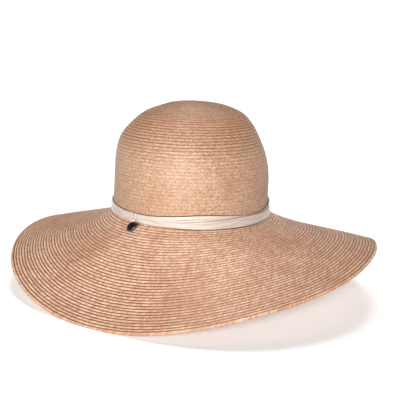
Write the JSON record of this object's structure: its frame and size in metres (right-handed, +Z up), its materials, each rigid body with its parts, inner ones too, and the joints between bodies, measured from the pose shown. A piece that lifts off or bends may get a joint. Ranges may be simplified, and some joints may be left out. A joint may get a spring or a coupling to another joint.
{
  "type": "floppy straw sun hat",
  "caption": "Wide-brimmed floppy sun hat of sewn straw braid, with a deep round crown, a wavy drooping brim, a twisted ribbon band and a small oval metal charm.",
  "frame": {"origin": "on the surface that the hat rests on, under the middle of its overall box", "axes": "+Z up along the crown, -Y towards the front of the hat, +X to the side where the ribbon twists"},
  "size_m": [0.401, 0.3846, 0.2023],
  "materials": {
    "straw": "sewn straw braid, natural peach tan, matt with a faint sheen",
    "ribbon": "satin ribbon, warm greige",
    "gunmetal": "dark plated metal, softly polished"
  },
  "bodies": {
    "root": {"crown": "straw", "brim": "straw", "hatband": "ribbon", "band_fold": "ribbon", "band_wrap": "ribbon", "charm": "gunmetal", "charm_ring": "gunmetal"}
  },
  "joints": []
}
